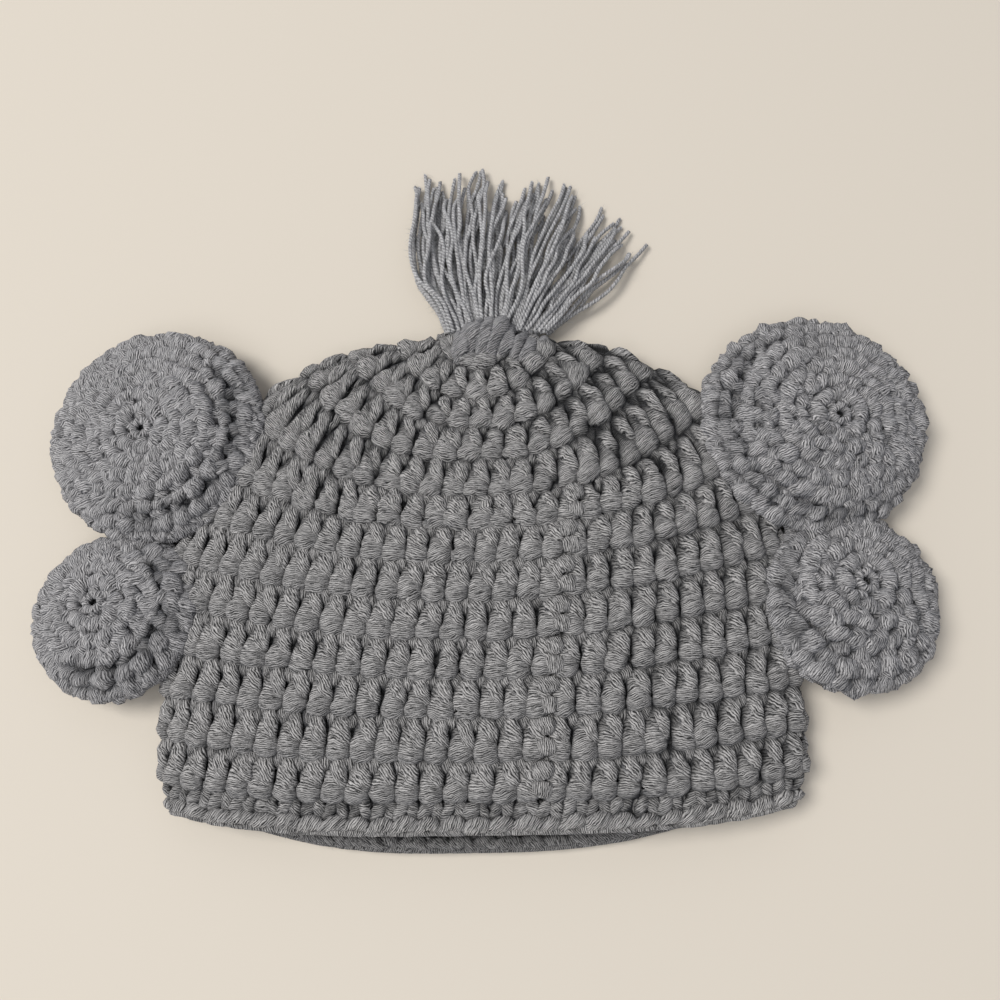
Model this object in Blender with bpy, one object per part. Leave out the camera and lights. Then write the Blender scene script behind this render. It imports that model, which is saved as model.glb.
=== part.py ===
"""Crocheted baby hat with two pairs of stuffed round ears and a tassel, lying flat on its back layer.

Metres. +Y runs from the mouth to the crown's top, +X to the right and +Z up from the surface it lies on.
The origin lies on that surface, midway between the side folds and midway between rim and crown top.
"""
import math
from collections import namedtuple

import bmesh
import bpy
from mathutils import Matrix, Vector

# Hat body.
HAT_WIDTH = 0.1848
HAT_LENGTH = 0.1520
KNIT_THICKNESS = 0.0042
HEAD_ROOM = 0.0096
RIB_DEPTH = 0.0009
TIP_REACH = 0.0012

# Upper pair of ears, then the lower pair.
UPPER_DIAMETER = 0.0665
UPPER_THICKNESS = 0.0175
UPPER_OVERLAP = 0.0130
LOWER_DIAMETER = 0.0475
LOWER_THICKNESS = 0.0165
LOWER_OVERLAP = 0.0065
EAR_ROUND_PITCH = 0.0088
EAR_ROUND_DEPTH = 0.0009
EAR_DIMPLE = 0.0020

# Tassel.
TASSEL_LENGTH = 0.0580
TASSEL_SPREAD = 74.0
TASSEL_LEAN = 20.0
TASSEL_SHIFT = 0.0040
TASSEL_BOW = 0.0070
TASSEL_LOCKS = 13
LOCK_THICKNESS = 0.0090
HEAD_WIDTH = 0.0360
HEAD_LENGTH = 0.0150
HEAD_HEIGHT = 0.0150

# Clearance between pieces that touch.
SEAT_GAP = 0.0003

# Boundaries between rounds, from the rim up. half_width is a share of half HAT_WIDTH. side, front and back
# are shares of HAT_LENGTH from the front rim: its place at the folds and in the middle of either layer.
# room is a share of HEAD_ROOM, the height between the layers.
Round = namedtuple("Round", "half_width side front back room")
ROUNDS = [
    Round(0.955, 0.046, 0.002, -0.030, 0.60),
    Round(0.985, 0.106, 0.064, 0.040, 0.74),
    Round(0.994, 0.186, 0.132, 0.112, 0.88),
    Round(0.996, 0.264, 0.210, 0.194, 0.96),
    Round(1.000, 0.350, 0.281, 0.268, 1.00),
    Round(0.997, 0.438, 0.353, 0.342, 1.00),
    Round(0.980, 0.522, 0.426, 0.418, 1.00),
    Round(0.950, 0.614, 0.501, 0.496, 1.00),
    Round(0.906, 0.716, 0.567, 0.565, 1.00),
    Round(0.795, 0.832, 0.632, 0.632, 0.96),
    Round(0.600, 0.918, 0.707, 0.709, 0.84),
    Round(0.450, 0.963, 0.782, 0.785, 0.66),
    Round(0.285, 0.987, 0.845, 0.849, 0.46),
    Round(0.145, 0.997, 0.915, 0.918, 0.24),
]
EDGING_ROUNDS = 1
CAVITY_ROUNDS = 12
# Where along one round the skin is read, as shares of the round: the groove, then the rib's two shoulders.
RIB_STATIONS = (0.0, 0.24, 0.62)
# Share of the room that lies under the side folds, and how fast rows and layers bend towards them.
FOLD_SHARE = 0.40
ROW_BEND = 2.0
FRONT_FULLNESS = 3.5
BACK_FULLNESS = 8.0
AROUND_HAT = 56

# One row for each pair of ears. seat is the boundary it is sewn at, in rounds from the rim. tilt tips it away
# from the hat and lean towards the crown's top, in degrees.
Ear = namedtuple("Ear", "diameter thickness overlap seat tilt lean around")
UPPER_EAR = Ear(UPPER_DIAMETER, UPPER_THICKNESS, UPPER_OVERLAP, 8.15, 7.0, 2.0, 30)
LOWER_EAR = Ear(LOWER_DIAMETER, LOWER_THICKNESS, LOWER_OVERLAP, 4.8, 9.0, 8.0, 26)
EAR_SQUARENESS = 2.7
# How far out from its middle the rounds of an ear's face reach, as a share of its radius.
EAR_FACE_SHARE = 0.97

# Sections of one lock: share of its length and of LOCK_THICKNESS.
Station = namedtuple("Station", "share width")
LOCK_STATIONS = [
    Station(0.0, 0.62),
    Station(0.3, 0.95),
    Station(0.68, 1.0),
    Station(0.92, 0.8),
    Station(1.0, 0.5),
]
LOCK_UNEVENNESS = 0.06
# Share of the head's width over which the locks leave it.
LOCK_ROOTS = 0.55
AROUND_LOCK = 7

YARN_GREY = (0.185, 0.185, 0.190, 1.0)
YARN_ROUGHNESS = 0.92


def clear_scene():
    for item in list(bpy.data.objects):
        bpy.data.objects.remove(item, do_unlink=True)


def yarn_material(name):
    material = bpy.data.materials.new(name)
    material.use_nodes = True
    shader = material.node_tree.nodes["Principled BSDF"]
    shader.inputs["Base Color"].default_value = YARN_GREY
    shader.inputs["Roughness"].default_value = YARN_ROUGHNESS
    shader.inputs["Metallic"].default_value = 0.0
    return material


def loft(name, sections, wrap=False):
    """Closed skin through rings of points. A section of one point is a tip."""
    mesh = bpy.data.meshes.new(name)
    build = bmesh.new()
    rows = [[build.verts.new(point) for point in section] for section in sections]
    pairs = list(zip(rows, rows[1:]))
    if wrap:
        pairs.append((rows[-1], rows[0]))
    for low, high in pairs:
        count = max(len(low), len(high))
        for i in range(count):
            j = (i + 1) % count
            corners = [low[i % len(low)], low[j % len(low)], high[j % len(high)], high[i % len(high)]]
            build.faces.new(list(dict.fromkeys(corners)))
    bmesh.ops.recalc_face_normals(build, faces=build.faces)
    build.to_mesh(mesh)
    build.free()
    mesh.shade_smooth()
    item = bpy.data.objects.new(name, mesh)
    bpy.context.scene.collection.objects.link(item)
    return item


def make_piece(item):
    item.data.materials.append(yarn_material(item.name + "_yarn"))
    item.data.set_sharp_from_angle(angle=math.radians(50))
    return item


def make_guide(item):
    item.hide_render = True
    item.display_type = "WIRE"
    return item


def cut(item, cutter):
    step = item.modifiers.new("clear_of_" + cutter.name, "BOOLEAN")
    step.operation = "DIFFERENCE"
    step.solver = "EXACT"
    step.object = cutter


def round_at(position):
    """Row of the round table at any position, read smoothly between its rows."""
    last = len(ROUNDS) - 1
    position = min(max(position, 0.0), float(last))
    start = min(int(position), last - 1)
    share = position - start
    rows = [ROUNDS[min(max(start + step, 0), last)] for step in (-1, 0, 1, 2)]
    values = []
    for before, here, ahead, beyond in zip(*rows):
        slope_here = (ahead - before) / 2
        slope_ahead = (beyond - here) / 2
        change = ahead - here
        cubic = slope_here + slope_ahead - 2 * change
        square = 3 * change - 2 * slope_here - slope_ahead
        values.append(here + share * (slope_here + share * (square + share * cubic)))
    return Round(*values)


def from_rim(share):
    """Y of a place given as a share of HAT_LENGTH from the front rim's middle."""
    return (share - 0.5) * HAT_LENGTH


def side_fold(position, depth):
    """Place of the right-hand side fold, depth below the outer skin, and the direction out of it."""
    step = 0.05
    row = round_at(position)
    low = round_at(position - step)
    high = round_at(position + step)
    along = Vector(((high.half_width - low.half_width) * HAT_WIDTH / 2, (high.side - low.side) * HAT_LENGTH))
    along.normalize()
    outward = Vector((along.y, -along.x))
    place = Vector((row.half_width * HAT_WIDTH / 2, from_rim(row.side))) - outward * depth
    return place, outward


def hat_point(position, turn, depth=0.0, rib=0.0):
    """Point of the hat's loop at a position in rounds, turned from the right fold over the front layer."""
    last = len(ROUNDS) - 1
    past = max(position - last, 0.0)
    closing = math.sqrt(max(1.0 - past * past, 0.0))
    row = round_at(position)
    place, _ = side_fold(position, depth + rib)
    room = row.room * HEAD_ROOM
    fold = KNIT_THICKNESS + FOLD_SHARE * room
    across = math.cos(turn)
    bend = abs(across) ** ROW_BEND
    if math.sin(turn) >= 0:
        rise = room * (1 - FOLD_SHARE) + KNIT_THICKNESS - depth - rib
        height = rise * math.sqrt(max(1 - abs(across) ** FRONT_FULLNESS, 0.0))
        middle = from_rim(row.front)
    else:
        full = fold - depth
        pressed = (full + SEAT_GAP) * math.sqrt(max(1 - abs(across) ** BACK_FULLNESS, 0.0))
        height = -min(full, pressed)
        middle = from_rim(row.back)
    tip = from_rim(1.0) + TIP_REACH - depth
    y = middle + (place.y - middle) * bend
    y += (tip - y) * past
    return Vector((place.x * across * closing, y, fold + height * closing))


def hat_ring(position, depth=0.0, rib=0.0):
    return [hat_point(position, 2 * math.pi * i / AROUND_HAT, depth, rib) for i in range(AROUND_HAT)]


def rib_depth(share):
    return RIB_DEPTH * (1 - math.sqrt(math.sin(math.pi * share)))


def edging_gap():
    """Clearance between crown and edging as a share of the edging round, which is shortest at the folds."""
    return SEAT_GAP / ((ROUNDS[1].side - ROUNDS[0].side) * HAT_LENGTH)


def make_crown():
    last = len(ROUNDS) - 1
    outside = []
    for number in range(EDGING_ROUNDS, last):
        for share in RIB_STATIONS:
            outside.append(hat_ring(number + share, rib=rib_depth(share)))
    outside.append(hat_ring(last, rib=RIB_DEPTH))
    outside.append(hat_ring(last + 0.55))
    outside.append([hat_point(last + 1.0, 0.0)])
    inside = [hat_ring(EDGING_ROUNDS, KNIT_THICKNESS)]
    for number in range(EDGING_ROUNDS + 1, CAVITY_ROUNDS + 1):
        if number % 2 == 0 or number > 8:
            inside.append(hat_ring(number, KNIT_THICKNESS))
    top = inside[-1]
    inside.append([sum(top, Vector()) / len(top) + Vector((0, KNIT_THICKNESS / 2, 0))])
    return make_piece(loft("crown", outside[::-1] + inside))


def make_edging():
    """The rim's round: a band with a rolled lower edge, one layer thick."""
    end = EDGING_ROUNDS - edging_gap()
    section = [
        (end, 0.16),
        (0.66, 0.02),
        (0.34, 0.0),
        (0.10, 0.14),
        (0.0, 0.48),
        (0.10, 0.84),
        (0.34, 1.0),
        (end, 1.0),
    ]
    rings = [hat_ring(position, depth * KNIT_THICKNESS) for position, depth in section]
    return make_piece(loft("rim_edging", rings, wrap=True))


def make_hat_room():
    """Guide: the hat's outer form with the seat gap round it, cut out of what is sewn on it."""
    last = len(ROUNDS) - 1
    mouth = hat_ring(0.0, -SEAT_GAP)
    rings = [[sum(mouth, Vector()) / len(mouth)]]
    for number in range(last):
        rings += [hat_ring(number + share, -SEAT_GAP) for share in RIB_STATIONS]
    rings += [hat_ring(last, -SEAT_GAP), hat_ring(last + 0.55, -SEAT_GAP)]
    rings.append([hat_point(last + 1.0, 0.0, -SEAT_GAP)])
    return make_guide(loft("hat_room", rings))


def make_floor_room():
    """Guide: everything below the surface, cut off what is pressed flat on it."""
    reach = 2 * (HAT_WIDTH + HAT_LENGTH)
    corners = [Vector((x * reach, y * reach, 0)) for x, y in ((-1, -1), (1, -1), (1, 1), (-1, 1))]
    deep = [corner - Vector((0, 0, reach)) for corner in corners]
    centre = Vector((0, 0, 0))
    return make_guide(loft("floor_room", [[centre], corners, deep, [centre - Vector((0, 0, reach))]]))


def cushion_rings(ear, grow=0.0):
    """Rings of a stuffed disc: flat-domed faces with a groove between rounds and a dimple in the middle."""
    radius = ear.diameter / 2
    rounds = max(round(radius / EAR_ROUND_PITCH), 2)
    profile = [(0.0, ear.thickness / 2 - 1.5 * EAR_DIMPLE)]
    for half_round in range(1, 2 * rounds + 1):
        share = half_round / (2 * rounds) * EAR_FACE_SHARE
        dome = (1 - share ** EAR_SQUARENESS) ** (1 / EAR_SQUARENESS)
        height = ear.thickness / 2 * dome - EAR_DIMPLE * (1 - share) ** 3
        if half_round % 2 == 0:
            height -= EAR_ROUND_DEPTH
        profile.append((share * radius, height))
    outline = profile + [(radius, 0.0)] + [(distance, -height) for distance, height in reversed(profile)]
    sections = []
    for distance, height in outline:
        lift = height + (math.copysign(grow, height) if height else 0.0)
        if distance == 0.0:
            sections.append([Vector((0, 0, lift))])
            continue
        turns = [2 * math.pi * i / ear.around for i in range(ear.around)]
        spread = distance + grow
        sections.append([Vector((spread * math.cos(a), spread * math.sin(a), lift)) for a in turns])
    return sections


def ear_matrix(side, ear):
    """Place of an ear: out from the side fold by its radius less the overlap, tipped away from the hat."""
    place, outward = side_fold(ear.seat, 0.0)
    centre = place + outward * (ear.diameter / 2 - ear.overlap)
    tip_out = Matrix.Rotation(math.radians(ear.tilt) * side, 4, "Y")
    tip_up = Matrix.Rotation(math.radians(-ear.lean), 4, "X")
    lift = Matrix.Translation((side * centre.x, centre.y, ear.thickness / 2))
    return lift @ tip_out @ tip_up


def make_ears(hat_room, floor_room):
    for side, word in ((-1, "left"), (1, "right")):
        upper_place = ear_matrix(side, UPPER_EAR)
        upper = make_piece(loft("ear_upper_" + word, cushion_rings(UPPER_EAR)))
        upper.data.transform(upper_place)
        upper_room = make_guide(loft("upper_room_" + word, cushion_rings(UPPER_EAR, SEAT_GAP)))
        upper_room.data.transform(upper_place)
        lower = make_piece(loft("ear_lower_" + word, cushion_rings(LOWER_EAR)))
        lower.data.transform(ear_matrix(side, LOWER_EAR))
        for piece in (upper, lower):
            cut(piece, hat_room)
            cut(piece, floor_room)
        cut(lower, upper_room)


def lock_rings(angle, length, bow, root):
    """Rings of one lock of strands, from the tassel's head out to its tip, bowed sideways and laid down."""
    direction = Vector((math.sin(angle), math.cos(angle), 0))
    across = Vector((direction.y, -direction.x, 0))
    rings = []
    for station in LOCK_STATIONS:
        half = LOCK_THICKNESS / 2 * station.width
        drop = root.z * (1 - station.share) + half * station.share
        middle = Vector((root.x, root.y, drop)) + direction * length * station.share
        middle += across * bow * math.sin(math.pi * station.share)
        ring = []
        for i in range(AROUND_LOCK):
            turn = 2 * math.pi * i / AROUND_LOCK
            ring.append(middle + across * half * math.cos(turn) + Vector((0, 0, half * math.sin(turn))))
        rings.append(ring)
    start = Vector((root.x, root.y, root.z)) - direction * LOCK_THICKNESS / 4
    end = sum(rings[-1], Vector()) / AROUND_LOCK + direction * LOCK_THICKNESS / 8
    return [[start]] + rings + [[end]]


def make_tassel(hat_room, floor_room):
    """Gathered head on the crown's tip with locks of yarn fanned out of it, fused into one body."""
    root = Vector((TASSEL_SHIFT, from_rim(1.0) + HEAD_LENGTH / 3, HEAD_HEIGHT * 0.44))
    sections = []
    for i in range(7):
        polar = math.pi * i / 6
        reach = math.sin(polar)
        turns = [2 * math.pi * k / 12 for k in range(12)] if 0 < i < 6 else [0.0]
        sections.append([
            root + Vector((
                math.cos(a) * reach * HEAD_WIDTH / 2,
                math.sin(a) * reach * HEAD_LENGTH / 2,
                math.cos(polar) * HEAD_HEIGHT / 2,
            ))
            for a in turns
        ])
    head = make_piece(loft("tassel", sections))
    locks = bpy.data.collections.new("tassel_locks")
    bpy.context.scene.collection.children.link(locks)
    for i in range(TASSEL_LOCKS):
        share = i / (TASSEL_LOCKS - 1)
        angle = math.radians(TASSEL_LEAN + TASSEL_SPREAD * (share - 0.5))
        length = (TASSEL_LENGTH - HEAD_LENGTH / 3) * (1.0 - LOCK_UNEVENNESS * (i % 2))
        bow = TASSEL_BOW * (2 * share - 1)
        start = root + Vector((HEAD_WIDTH * LOCK_ROOTS * (share - 0.5), 0, 0))
        lock = make_guide(loft("lock_%02d" % (i + 1), lock_rings(angle, length, bow, start)))
        bpy.context.scene.collection.objects.unlink(lock)
        locks.objects.link(lock)
    fuse = head.modifiers.new("fused_locks", "BOOLEAN")
    fuse.operation = "UNION"
    fuse.solver = "EXACT"
    fuse.operand_type = "COLLECTION"
    fuse.collection = locks
    cut(head, hat_room)
    cut(head, floor_room)
    return head


clear_scene()
make_crown()
make_edging()
hat_guide = make_hat_room()
floor_guide = make_floor_room()
make_ears(hat_guide, floor_guide)
make_tassel(hat_guide, floor_guide)
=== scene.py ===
import math

import bpy
import numpy as np
from mathutils import Euler, Matrix, Vector


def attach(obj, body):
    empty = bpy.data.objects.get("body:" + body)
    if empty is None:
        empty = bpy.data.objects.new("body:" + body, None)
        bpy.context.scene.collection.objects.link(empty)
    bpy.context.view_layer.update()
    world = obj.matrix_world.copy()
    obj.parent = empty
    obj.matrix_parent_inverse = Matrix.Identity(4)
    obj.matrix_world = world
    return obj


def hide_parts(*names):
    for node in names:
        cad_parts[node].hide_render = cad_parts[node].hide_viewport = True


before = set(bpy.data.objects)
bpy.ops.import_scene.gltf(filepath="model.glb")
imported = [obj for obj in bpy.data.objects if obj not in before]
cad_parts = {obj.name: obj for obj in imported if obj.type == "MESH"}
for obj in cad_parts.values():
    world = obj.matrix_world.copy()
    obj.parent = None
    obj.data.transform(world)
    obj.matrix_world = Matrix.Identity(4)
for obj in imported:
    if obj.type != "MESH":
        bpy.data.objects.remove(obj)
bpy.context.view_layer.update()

# Table, lights and camera.
# A plain pale table top, a large soft box high to the left, a weaker and cooler one in front
# and a pale room round them. The camera looks down, 15.6 degrees from straight above.
TABLE_HALF = 3.0
TABLE_HEIGHT = -0.0001
TABLE_TINT = (0.690, 0.628, 0.542, 1)


def put_in_scene(name, data):
    """An object with this mesh, lamp or lens, linked into the scene."""
    thing = bpy.data.objects.new(name, data)
    bpy.context.scene.collection.objects.link(thing)
    return thing


table_mesh = bpy.data.meshes.new("table_top")
table_mesh.from_pydata(
    [(x * TABLE_HALF, y * TABLE_HALF, TABLE_HEIGHT) for x, y in ((-1, -1), (1, -1), (1, 1), (-1, 1))],
    [], [(0, 1, 2, 3)],
)
table_top = put_in_scene("table_top", table_mesh)
table_paint = bpy.data.materials.new("pale_table")
table_paint.use_nodes = True
table_coat = table_paint.node_tree.nodes["Principled BSDF"]
table_coat.inputs["Base Color"].default_value = TABLE_TINT
table_coat.inputs["Roughness"].default_value = 0.85
table_coat.inputs["Specular IOR Level"].default_value = 0.2
table_mesh.materials.append(table_paint)

CAMERA_PLACE = Vector((0.013436, -0.063994, 0.313071))
CAMERA_TURNS = (15.4965, 1.5476, -0.7700)
CAMERA_LENS = 37.8
camera_lens = bpy.data.cameras.new("camera")
camera_lens.sensor_width = 36
camera_lens.lens = CAMERA_LENS
camera_lens.clip_start = 0.01
camera = put_in_scene("camera", camera_lens)
camera_turn = Euler([math.radians(turn) for turn in CAMERA_TURNS], "XYZ")
camera.matrix_world = Matrix.Translation(CAMERA_PLACE) @ camera_turn.to_matrix().to_4x4()
bpy.context.scene.camera = camera


def soft_box(name, place, size, power, tint):
    """A round soft lamp that shines on the middle of the table."""
    lamp = bpy.data.lights.new(name, "AREA")
    lamp.shape = "DISK"
    lamp.size = size
    lamp.energy = power
    lamp.color = tint
    box = put_in_scene(name, lamp)
    box.location = place
    box.rotation_euler = (-Vector(place)).to_track_quat("-Z", "Y").to_euler()


soft_box("key_box", place=(-1.3, 0.15, 2.25), size=1.3, power=47.0, tint=(1.0, 0.985, 0.955))
soft_box("fill_box", place=(-0.4, -1.2, 2.1), size=1.6, power=12.0, tint=(0.95, 0.97, 1.0))
room = bpy.data.worlds.new("pale_room")
room.use_nodes = True
room_light = room.node_tree.nodes["Background"]
room_light.inputs["Color"].default_value = (0.93, 0.95, 1.0, 1)
room_light.inputs["Strength"].default_value = 0.38
bpy.context.scene.world = room
bpy.context.scene.view_settings.view_transform = "Standard"

# Crown.
# The cap is worked in the round from the crown down: fourteen rounds of tall stitches in
# soft grey acrylic yarn, 56 to a full round, laid flat so that it has a front and a back layer.
HAT_WIDTH = 0.1848
HAT_LENGTH = 0.1520
KNIT_THICKNESS = 0.0042
HEAD_ROOM = 0.0096
TIP_REACH = 0.0012
TIP_END = 0.985
FOLD_SHARE = 0.40
FRONT_FULLNESS = 3.5
BACK_FULLNESS = 8.0
SEAT_GAP = 0.0003
# How a round bends from its middle up to the side folds, and how much more it does so in the
# rounds near the rim and near the top.
ROW_BEND = 2.0
RIM_BEND = 1.5
RIM_BEND_ROUNDS = 3
TOP_BEND = 0.7
TOP_BEND_START = 6
TOP_BEND_ROUNDS = 4
# Under the mouth the back edge shows as a shallow bow: how far its ends are tucked in, and its
# middle, the flat part and the ramp to its ends as shares of half the width.
BACK_TUCK = 0.0038
BOW_MIDDLE = -0.065
BOW_FLAT = 0.1
BOW_RAMP = 0.58

# One row per round, rim to crown: half width as a share of half HAT_WIDTH, the places of the
# side fold, the front and the back as shares of HAT_LENGTH, and the share of HEAD_ROOM.
HAT_ROUNDS = np.array([
    (0.955, 0.046, 0.002, -0.030, 0.60),
    (0.985, 0.106, 0.064, 0.040, 0.74),
    (0.994, 0.186, 0.132, 0.112, 0.88),
    (0.996, 0.264, 0.210, 0.194, 0.96),
    (1.000, 0.350, 0.281, 0.268, 1.00),
    (0.997, 0.438, 0.353, 0.342, 1.00),
    (0.980, 0.522, 0.426, 0.418, 1.00),
    (0.950, 0.614, 0.501, 0.496, 1.00),
    (0.906, 0.716, 0.567, 0.565, 1.00),
    (0.795, 0.832, 0.632, 0.632, 0.96),
    (0.600, 0.918, 0.707, 0.709, 0.84),
    (0.450, 0.963, 0.782, 0.785, 0.66),
    (0.285, 0.987, 0.845, 0.849, 0.46),
    (0.145, 0.997, 0.915, 0.918, 0.24),
])
LAST_ROUND = len(HAT_ROUNDS) - 1
STITCHES_PER_ROUND = [56] * 8 + [54, 47, 37, 28, 18, 9]
UPWARD = np.array([0.0, 0.0, 1.0])


def smooth_through(knots, spots):
    """A table's rows read as one smooth curve, at any spots between them."""
    last = knots.shape[-2] - 1
    start = np.minimum(spots.astype(int), last - 1)
    share = (spots - start)[..., None]
    before, here, ahead, beyond = (
        knots[..., np.clip(start + step, 0, last), :] for step in (-1, 0, 1, 2)
    )
    slope_here = (ahead - before) / 2
    slope_ahead = (beyond - here) / 2
    change = ahead - here
    cubic = slope_here + slope_ahead - 2 * change
    square = 3 * change - 2 * slope_here - slope_ahead
    return here + share * (slope_here + share * (square + share * cubic))


def hat_loop(position, turn):
    """Outer skin of the flat cap: turn 0 is the right fold, a quarter turn the middle of the front."""
    past = np.maximum(position - LAST_ROUND, 0.0)
    closing = np.sqrt(np.maximum(1 - past * past, 0.0))
    shares = smooth_through(HAT_ROUNDS, np.clip(position, 0.0, LAST_ROUND))
    half_width, side, front, back, room_share = np.moveaxis(shares, -1, 0)
    room = room_share * HEAD_ROOM
    fold = KNIT_THICKNESS + FOLD_SHARE * room
    across = np.cos(turn)
    near_rim = np.clip(1 - position / RIM_BEND_ROUNDS, 0, 1)
    near_top = np.clip((position - TOP_BEND_START) / TOP_BEND_ROUNDS, 0, 1)
    bend = np.abs(across) ** (ROW_BEND + RIM_BEND * near_rim + TOP_BEND * near_top)
    rise = room * (1 - FOLD_SHARE) + KNIT_THICKNESS
    top = rise * np.sqrt(np.maximum(1 - np.abs(across) ** FRONT_FULLNESS, 0.0))
    pressed = (fold + SEAT_GAP) * np.sqrt(np.maximum(1 - np.abs(across) ** BACK_FULLNESS, 0.0))
    on_front = np.sin(turn) >= 0
    height = np.where(on_front, top, -np.minimum(fold, pressed))
    middle = (np.where(on_front, front, back) - 0.5) * HAT_LENGTH
    y = middle + ((side - 0.5) * HAT_LENGTH - middle) * bend
    y = y + (HAT_LENGTH / 2 + TIP_REACH - y) * past
    x = half_width * HAT_WIDTH / 2 * across * closing
    tuck = np.clip((np.abs(across - BOW_MIDDLE) - BOW_FLAT) / BOW_RAMP, 0, 1) ** 2 * near_rim
    y = np.where(on_front, y, y + BACK_TUCK * tuck * (1 - np.abs(across) ** BACK_FULLNESS))
    return np.stack([x, y, fold + height * closing], axis=-1)


def unit(ways):
    """The same directions with length one."""
    return ways / np.maximum(np.linalg.norm(ways, axis=-1, keepdims=True), 1e-12)


def run_along(line):
    """How far along a line each of its points lies."""
    return np.concatenate([[0], np.cumsum(np.linalg.norm(np.diff(line, axis=0), axis=1))])


def points_along(line, run, spots):
    """The points of a line, run long in all, at these lengths along it."""
    return np.stack([np.interp(spots, run, line[:, axis]) for axis in range(3)], axis=1)


# The skin as an even net: steps from rim to tip, and steps of equal length round each loop,
# from the left fold over the front to the right fold and back underneath.
NET_STEPS_UP = 12
NET_AROUND = 672
LOOP_SPOTS = 1441
hat_net = []
for position in np.linspace(0, LAST_ROUND + 1, (LAST_ROUND + 1) * NET_STEPS_UP + 1):
    turns = math.pi - np.linspace(0, 2 * math.pi, LOOP_SPOTS)
    loop = hat_loop(np.full(LOOP_SPOTS, min(position, LAST_ROUND + TIP_END)), turns)
    run = run_along(loop)
    hat_net.append(points_along(loop, run, np.linspace(0, run[-1], NET_AROUND + 1)))
hat_net = np.array(hat_net)


def outward_of(net):
    """The way out of the piece at each knot of its net, whose rows each meet themselves."""
    around = np.roll(net[:, :-1], -1, axis=1) - np.roll(net[:, :-1], 1, axis=1)
    around = np.concatenate([around, around[:, :1]], axis=1)
    return unit(np.cross(around, np.gradient(net, axis=0)))


hat_outward = outward_of(hat_net)


def read_net(net, rows, columns):
    """A net's values between its knots; columns run round and meet themselves."""
    rows = np.clip(rows, 0, net.shape[0] - 1.0001)
    columns = np.mod(columns, net.shape[1] - 1)
    row = rows.astype(int)
    column = columns.astype(int)
    down = (rows - row)[..., None]
    along = (columns - column)[..., None]
    near = net[row, column] * (1 - along) + net[row, column + 1] * along
    far = net[row + 1, column] * (1 - along) + net[row + 1, column + 1] * along
    return near * (1 - down) + far * down


def lay_on(net, outward, rows, columns, out):
    """World places on a net, raised from it by out in metres."""
    return read_net(net, rows, columns) + unit(read_net(outward, rows, columns)) * out[..., None]


def on_hat(position, share, out):
    """World places on the cap: position in rounds, share of the way round, and height above the skin."""
    return lay_on(hat_net, hat_outward, position * NET_STEPS_UP, share * NET_AROUND, out)


def strand_path(knots, count):
    """So many points on a smooth curve through a strand's knots, each with its place and radii."""
    knots = np.asarray(knots, float)
    return smooth_through(knots, np.linspace(0, knots.shape[-2] - 1, count))


def strand_skin(path, sides):
    """Rings of points round each path. A path's rows hold x, y, height, half width and half depth."""
    centre = path[..., :3]
    way = unit(np.gradient(centre, axis=-2))
    across = unit(np.cross(way, UPWARD))
    above = np.cross(across, way)
    turns = -math.pi / 2 + 2 * math.pi * np.arange(sides) / sides
    wide = across[..., None, :] * (np.cos(turns)[:, None] * path[..., 3][..., None, None])
    deep = above[..., None, :] * (np.sin(turns)[:, None] * path[..., 4][..., None, None])
    return centre[..., None, :] + wide + deep


class YarnHeap:
    """Gathers strand skins until they are made into one mesh."""

    def __init__(self):
        self.points = []
        self.faces = []
        self.plies = []
        self.heights = []
        self.count = 0

    def add(self, rings, plies, tone, heights):
        """rings: strands x rings x sides x 3. plies: strands x rings x (sides + 1). tone: strands. heights:
        how far each point lies above the skin, in millimetres, strands x rings x sides; the paint darkens
        the deeper points with painted shade."""
        strands, length, sides, _ = rings.shape
        base = self.count + np.arange(strands)[:, None, None] * length * sides
        here = base + np.arange(length - 1)[:, None] * sides + np.arange(sides)
        beside = base + np.arange(length - 1)[:, None] * sides + (np.arange(sides) + 1) % sides
        faces = np.stack([here, beside, beside + sides, here + sides], axis=-1)
        low = plies[:, :-1]
        high = plies[:, 1:]
        first = np.stack([low[..., :-1], low[..., 1:], high[..., 1:], high[..., :-1]], axis=-1)
        turn = np.arange(sides) / sides
        second = np.stack([turn, turn + 1 / sides, turn + 1 / sides, turn], axis=-1)
        second = second + tone[:, None, None, None] * np.ones((1, length - 1, 1, 1))
        self.points.append(rings.reshape(-1, 3))
        self.heights.append(heights.ravel())
        self.faces.append(faces.reshape(-1, 4))
        self.plies.append(np.stack([first, np.broadcast_to(second, first.shape)], axis=-1).reshape(-1, 2))
        self.count += strands * length * sides

    def mesh(self, name):
        """All the strands as one object, with their ply lines, and their heights for the paint's painted
        shade.
        """
        points = np.concatenate(self.points)
        faces = np.concatenate(self.faces)
        plies = np.concatenate(self.plies)
        mesh = bpy.data.meshes.new(name)
        mesh.vertices.add(len(points))
        mesh.vertices.foreach_set("co", points.astype(np.float32).ravel())
        mesh.loops.add(faces.size)
        mesh.loops.foreach_set("vertex_index", faces.astype(np.int32).ravel())
        mesh.polygons.add(len(faces))
        mesh.polygons.foreach_set("loop_start", np.arange(0, faces.size, 4, dtype=np.int32))
        mesh.uv_layers.new(name="plies")
        mesh.uv_layers["plies"].uv.foreach_set("vector", plies.astype(np.float32).ravel())
        mesh.attributes.new("height", "FLOAT", "POINT")
        mesh.attributes["height"].data.foreach_set("value", np.concatenate(self.heights).astype(np.float32))
        mesh.update(calc_edges=True)
        mesh.validate()
        mesh.shade_smooth()
        return put_in_scene(name, mesh)


# Spun yarn: the plies lie as fine slanted ridges, with short fibres crossing them. The first
# coordinate counts plies, the second goes once round the strand and tells strands apart.
PLY_PITCH = 0.00058
WANDER_SCALE = 480.0
FIBRE_SCALE = 520.0
DOWN_SCALE = 2600.0
RELIEF_REACH = 0.00034
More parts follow.
